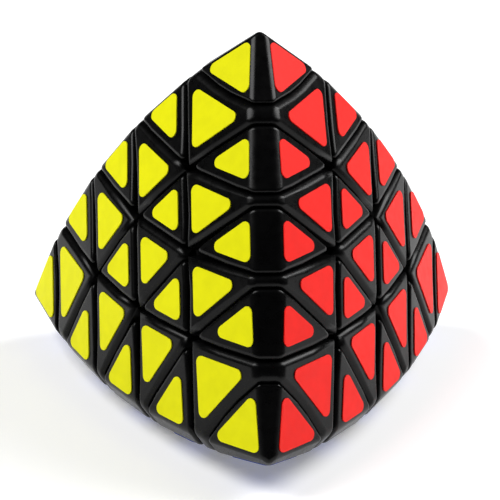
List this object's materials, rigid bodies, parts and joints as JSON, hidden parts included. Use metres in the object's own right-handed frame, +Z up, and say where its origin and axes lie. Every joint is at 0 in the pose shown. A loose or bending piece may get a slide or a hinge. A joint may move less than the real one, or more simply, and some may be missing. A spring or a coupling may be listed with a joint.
{
  "type": "pyramid twisty puzzle",
  "caption": "Pillowed pyramid twisty puzzle in black plastic with yellow, red, green and blue triangle stickers. Its layers and tips turn about the axes through its corners.",
  "frame": {"origin": "centre of the flat middle sticker of the bottom face, on which the puzzle rests", "axes": "+Z up through the top tip, -Y towards the front tip, +X to the right"},
  "size_m": [0.1168, 0.1098, 0.1064],
  "materials": {
    "black_plastic": "satin moulded black plastic with rounded edges",
    "core_plastic": "matt moulded plastic",
    "yellow_vinyl": "smooth vinyl sticker",
    "red_vinyl": "smooth vinyl sticker",
    "green_vinyl": "smooth vinyl sticker",
    "blue_vinyl": "smooth vinyl sticker",
    "steel": "zinc plated steel"
  },
  "bodies": {
    "base_layer": {"core": "core_plastic", "axis_screws": "steel", "axis_springs": "steel", "spring_washers": "steel", "base_axials": "black_plastic", "base_wing_edges": "black_plastic", "base_mid_edges": "black_plastic", "base_bow_edges": "black_plastic", "base_triangle_centers": "black_plastic", "base_face_center": "black_plastic", "base_yellow_stickers": "yellow_vinyl", "base_red_stickers": "red_vinyl", "base_green_stickers": "green_vinyl", "base_blue_stickers": "blue_vinyl", "base_center_sticker": "blue_vinyl"},
    "fourth_layer": {"layer4_wing_edges": "black_plastic", "layer4_bow_edges": "black_plastic", "layer4_triangle_centers": "black_plastic", "layer4_face_centers": "black_plastic", "layer4_yellow_stickers": "yellow_vinyl", "layer4_red_stickers": "red_vinyl", "layer4_green_stickers": "green_vinyl"},
    "third_layer": {"layer3_mid_edges": "black_plastic", "layer3_bow_edges": "black_plastic", "layer3_triangle_centers": "black_plastic", "layer3_yellow_stickers": "yellow_vinyl", "layer3_red_stickers": "red_vinyl", "layer3_green_stickers": "green_vinyl"},
    "second_layer": {"top_axial": "black_plastic", "layer2_wing_edges": "black_plastic", "layer2_yellow_stickers": "yellow_vinyl", "layer2_red_stickers": "red_vinyl", "layer2_green_stickers": "green_vinyl"},
    "top_tip": {"top_tip": "black_plastic", "top_tip_clip": "black_plastic", "top_tip_yellow_sticker": "yellow_vinyl", "top_tip_red_sticker": "red_vinyl", "top_tip_green_sticker": "green_vinyl"},
    "front_tip": {"front_tip": "black_plastic", "front_tip_clip": "black_plastic", "front_tip_yellow_sticker": "yellow_vinyl", "front_tip_red_sticker": "red_vinyl", "front_tip_blue_sticker": "blue_vinyl"},
    "left_tip": {"left_tip": "black_plastic", "left_tip_clip": "black_plastic", "left_tip_yellow_sticker": "yellow_vinyl", "left_tip_green_sticker": "green_vinyl", "left_tip_blue_sticker": "blue_vinyl"},
    "right_tip": {"right_tip": "black_plastic", "right_tip_clip": "black_plastic", "right_tip_red_sticker": "red_vinyl", "right_tip_green_sticker": "green_vinyl", "right_tip_blue_sticker": "blue_vinyl"}
  },
  "joints": [
    {"name": "fourth_layer_turn", "type": "hinge", "parent": "base_layer", "child": "fourth_layer", "pos_m": [0, 0, 0.0354], "axis": [0, 0, 1], "continuous": true},
    {"name": "third_layer_turn", "type": "hinge", "parent": "fourth_layer", "child": "third_layer", "pos_m": [0, 0, 0.0354], "axis": [0, 0, 1], "continuous": true},
    {"name": "second_layer_turn", "type": "hinge", "parent": "third_layer", "child": "second_layer", "pos_m": [0, 0, 0.0354], "axis": [0, 0, 1], "continuous": true},
    {"name": "top_tip_turn", "type": "hinge", "parent": "second_layer", "child": "top_tip", "pos_m": [0, 0, 0.0354], "axis": [0, 0, 1], "continuous": true},
    {"name": "front_tip_turn", "type": "hinge", "parent": "base_layer", "child": "front_tip", "pos_m": [0, 0, 0.0354], "axis": [0, -0.9428, -0.3333], "continuous": true},
    {"name": "left_tip_turn", "type": "hinge", "parent": "base_layer", "child": "left_tip", "pos_m": [0, 0, 0.0354], "axis": [-0.8165, 0.4714, -0.3333], "continuous": true},
    {"name": "right_tip_turn", "type": "hinge", "parent": "base_layer", "child": "right_tip", "pos_m": [0, 0, 0.0354], "axis": [0.8165, 0.4714, -0.3333], "continuous": true}
  ]
}
